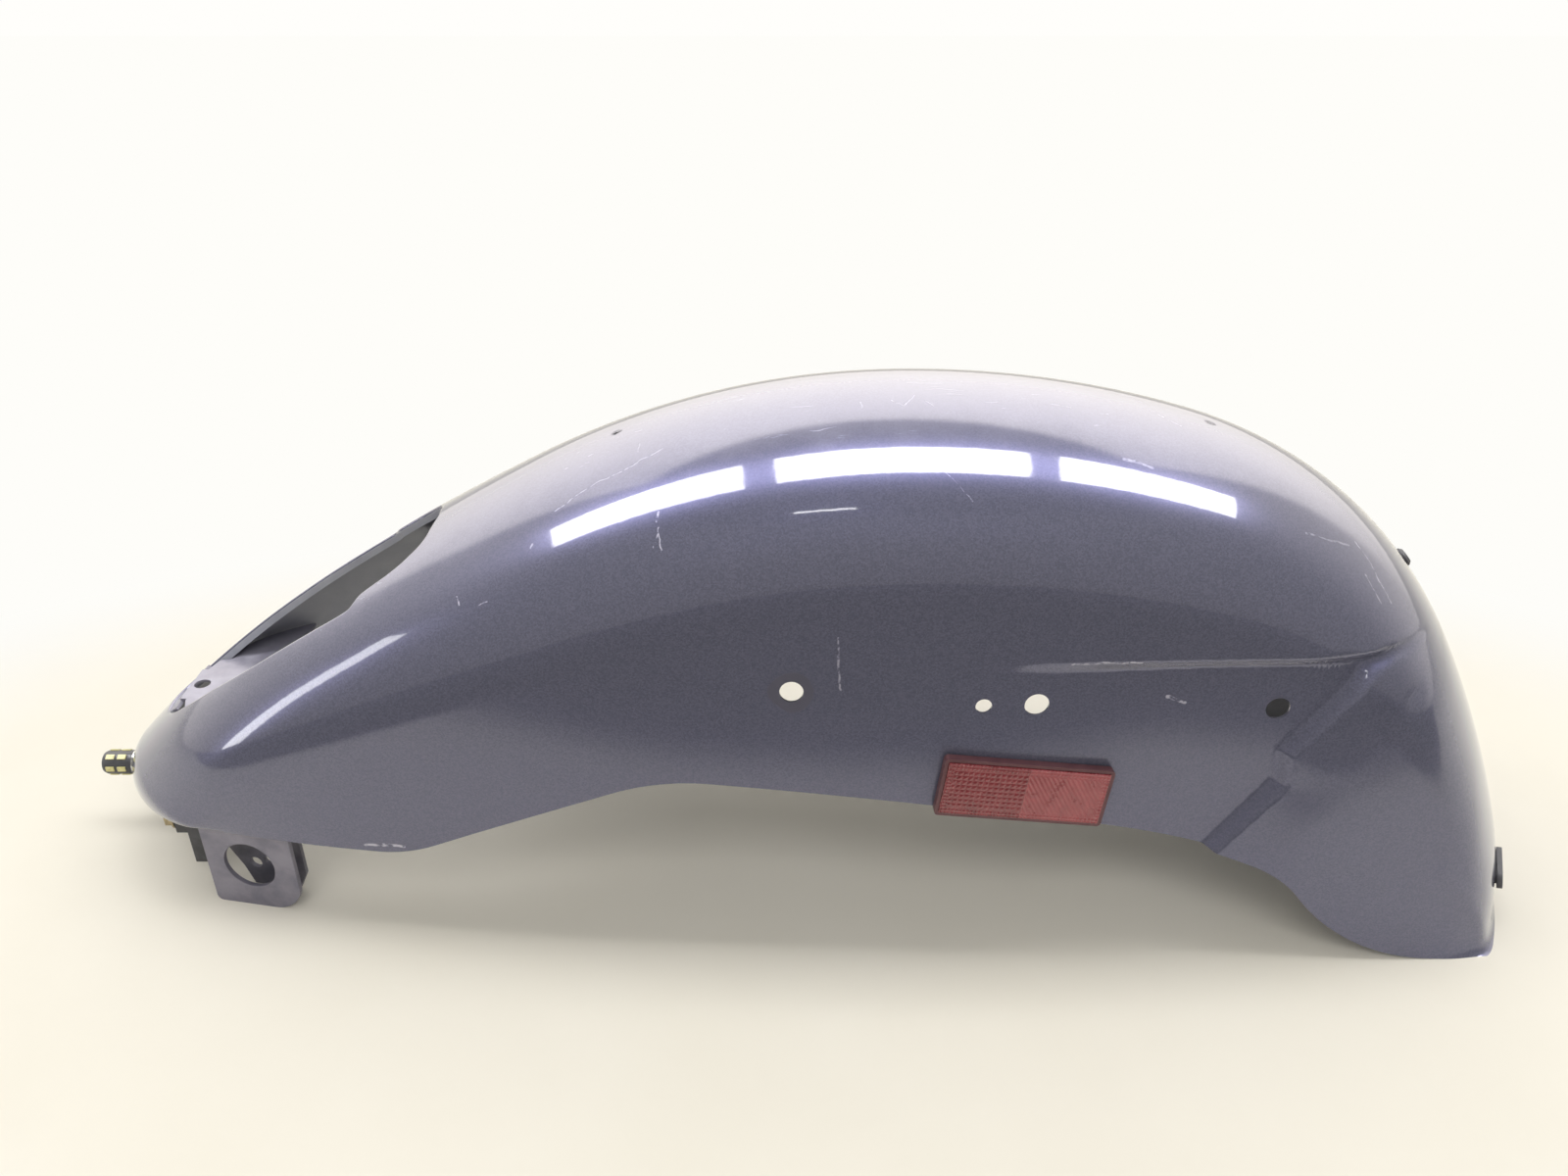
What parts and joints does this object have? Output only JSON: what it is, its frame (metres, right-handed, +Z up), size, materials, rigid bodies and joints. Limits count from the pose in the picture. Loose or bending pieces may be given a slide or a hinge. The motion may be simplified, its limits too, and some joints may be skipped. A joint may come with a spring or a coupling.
{
  "type": "motorcycle rear fender",
  "caption": "Pressed steel motorcycle rear fender in metallic blue-purple paint, with a long open nose, strut recesses, side reflectors and nose tabs.",
  "frame": {"origin": "middle of the part's base, on the floor it stands on", "axes": "+X to the motorcycle's rear, +Y to its right, +Z up"},
  "size_m": [0.9282, 0.2486, 0.3192],
  "materials": {
    "paint": "metallic gloss paint, deep blue-purple",
    "bracket_paint": "same paint, thinner and satin",
    "black_steel": "black satin paint",
    "zinc": "yellowed zinc plate",
    "black_plastic": "satin black",
    "nickel": "bright nickel plate",
    "chip": "yellow phosphor under clear resin",
    "reflector_housing": "dark red moulded rim",
    "reflector_lens": "clear red with prisms behind the face",
    "rubber": "matt black"
  },
  "bodies": {
    "root": {"fender_skin": "paint", "nose_plate": "bracket_paint", "neck_plate": "bracket_paint", "tab_left": "bracket_paint", "tab_right": "bracket_paint", "cheek_left": "bracket_paint", "cheek_right": "bracket_paint", "lamp_bracket": "black_steel", "lamp_bolt_left": "zinc", "lamp_bolt_right": "zinc", "lamp_washer_left": "zinc", "lamp_washer_right": "zinc", "bulb_holder": "black_plastic", "bulb_neck": "nickel", "bulb_body": "black_plastic", "bulb_chips": "chip", "reflector_housing_left": "reflector_housing", "reflector_housing_right": "reflector_housing", "reflector_lens_left": "reflector_lens", "reflector_lens_right": "reflector_lens", "reflector_stud_left": "zinc", "reflector_stud_right": "zinc", "reflector_nut_left": "zinc", "reflector_nut_right": "zinc", "tail_plug": "rubber", "tail_grommet": "rubber"}
  },
  "joints": []
}
